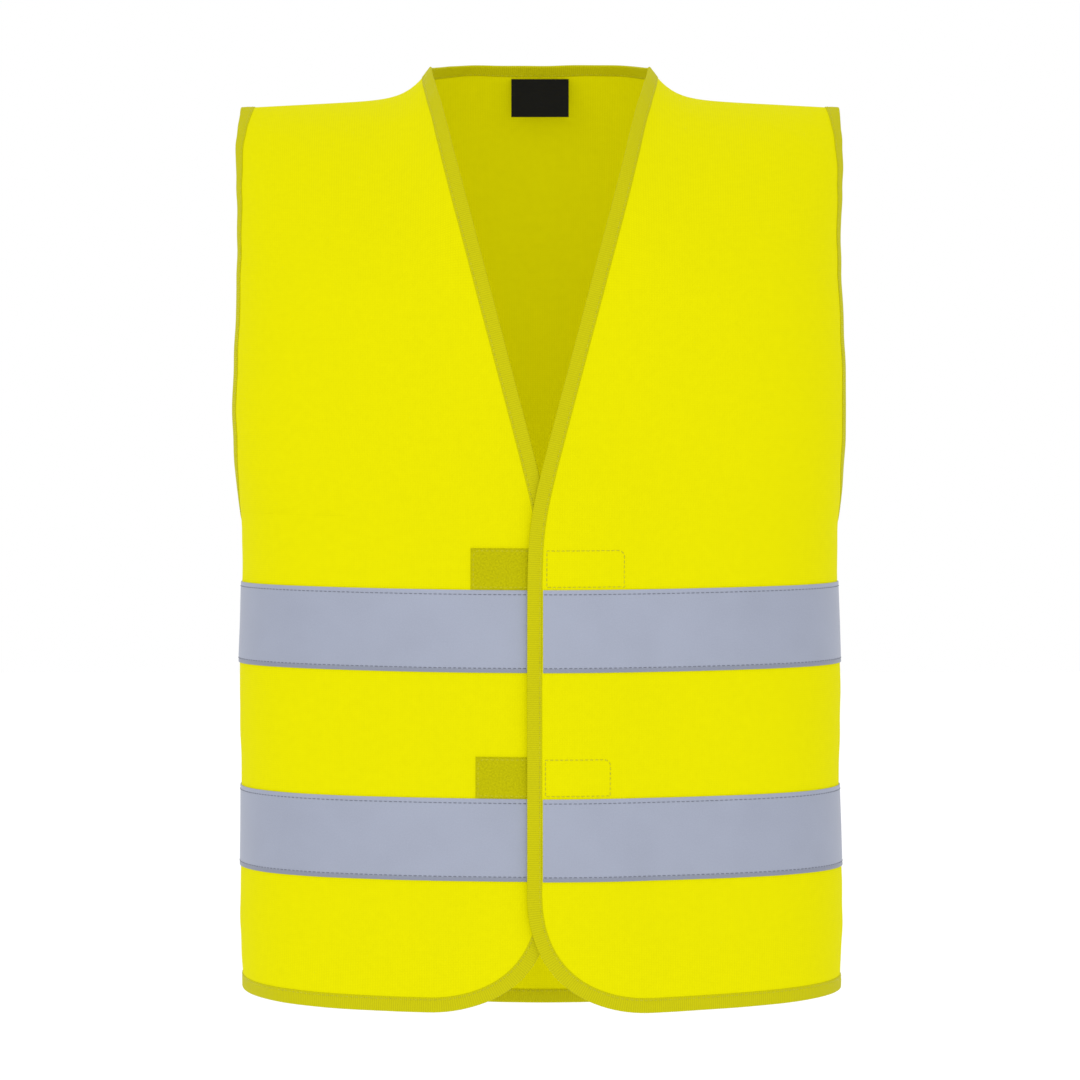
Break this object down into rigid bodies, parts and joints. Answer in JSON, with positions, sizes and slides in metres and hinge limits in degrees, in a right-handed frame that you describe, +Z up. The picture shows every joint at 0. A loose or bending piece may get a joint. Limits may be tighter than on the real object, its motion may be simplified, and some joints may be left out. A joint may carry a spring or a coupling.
{
  "type": "high visibility vest",
  "caption": "Sleeveless high-visibility safety vest, worn shape: V neck, lapped fronts with hook-and-loop closures, two rows of reflective tape and bound edges.",
  "frame": {"origin": "midway between the two neck points, level with the tops of the shoulder seams, where the wearer's shoulders or a hanger carry the vest", "axes": "+Z up, -Y the vest's front, +X the wearer's left"},
  "size_m": [0.38, 0.245, 0.61],
  "materials": {
    "hi_vis_cloth": "thin knitted polyester, fluorescent yellow, matt",
    "edge_binding": "ribbed woven polyester tape folded over the edges, darker yellow",
    "reflective_tape": "silver grey glass-bead reflective tape",
    "loop_tape": "brushed loop pile, dark yellow",
    "hook_tape": "stiff woven tape with small plastic hooks, yellow",
    "woven_label": null
  },
  "bodies": {
    "vest_body": {"back_panel": "hi_vis_cloth", "back_neck_binding": "edge_binding", "back_hem_binding": "edge_binding", "back_lower_tape": "reflective_tape", "back_upper_tape": "reflective_tape", "left_front_side": "hi_vis_cloth", "left_neck_binding": "edge_binding", "left_hem_binding": "edge_binding", "left_armhole_binding": "edge_binding", "left_side_lower_tape": "reflective_tape", "left_side_upper_tape": "reflective_tape", "right_front_side": "hi_vis_cloth", "right_neck_binding": "edge_binding", "right_hem_binding": "edge_binding", "right_armhole_binding": "edge_binding", "right_side_lower_tape": "reflective_tape", "right_side_upper_tape": "reflective_tape"},
    "left_front": {"left_front_flap": "hi_vis_cloth", "left_edge_binding": "edge_binding", "left_flap_lower_tape": "reflective_tape", "left_flap_upper_tape": "reflective_tape", "lower_hook_strip": "hook_tape", "upper_hook_strip": "hook_tape"},
    "right_front": {"right_front_flap": "hi_vis_cloth", "right_edge_binding": "edge_binding", "right_flap_lower_tape": "reflective_tape", "right_flap_upper_tape": "reflective_tape", "lower_loop_strip": "loop_tape", "upper_loop_strip": "loop_tape"},
    "label": {"neck_label": "woven_label"}
  },
  "joints": [
    {"name": "left_front_fold", "type": "hinge", "parent": "vest_body", "child": "left_front", "pos_m": [0.074, -0.1214, -0.3677], "axis": [0, 0, 1], "range_deg": [0, 150]},
    {"name": "right_front_fold", "type": "hinge", "parent": "vest_body", "child": "right_front", "pos_m": [-0.074, -0.1214, -0.3677], "axis": [0, 0, 1], "range_deg": [-120, 0]},
    {"name": "label_lift", "type": "hinge", "parent": "vest_body", "child": "label", "pos_m": [0, 0.06197, -0.00078], "axis": [-1, 0, 0], "range_deg": [0, 90]}
  ],
  "couplings": [
    {"joint": "right_front_fold", "follows": "left_front_fold", "ratio": -0.8}
  ]
}
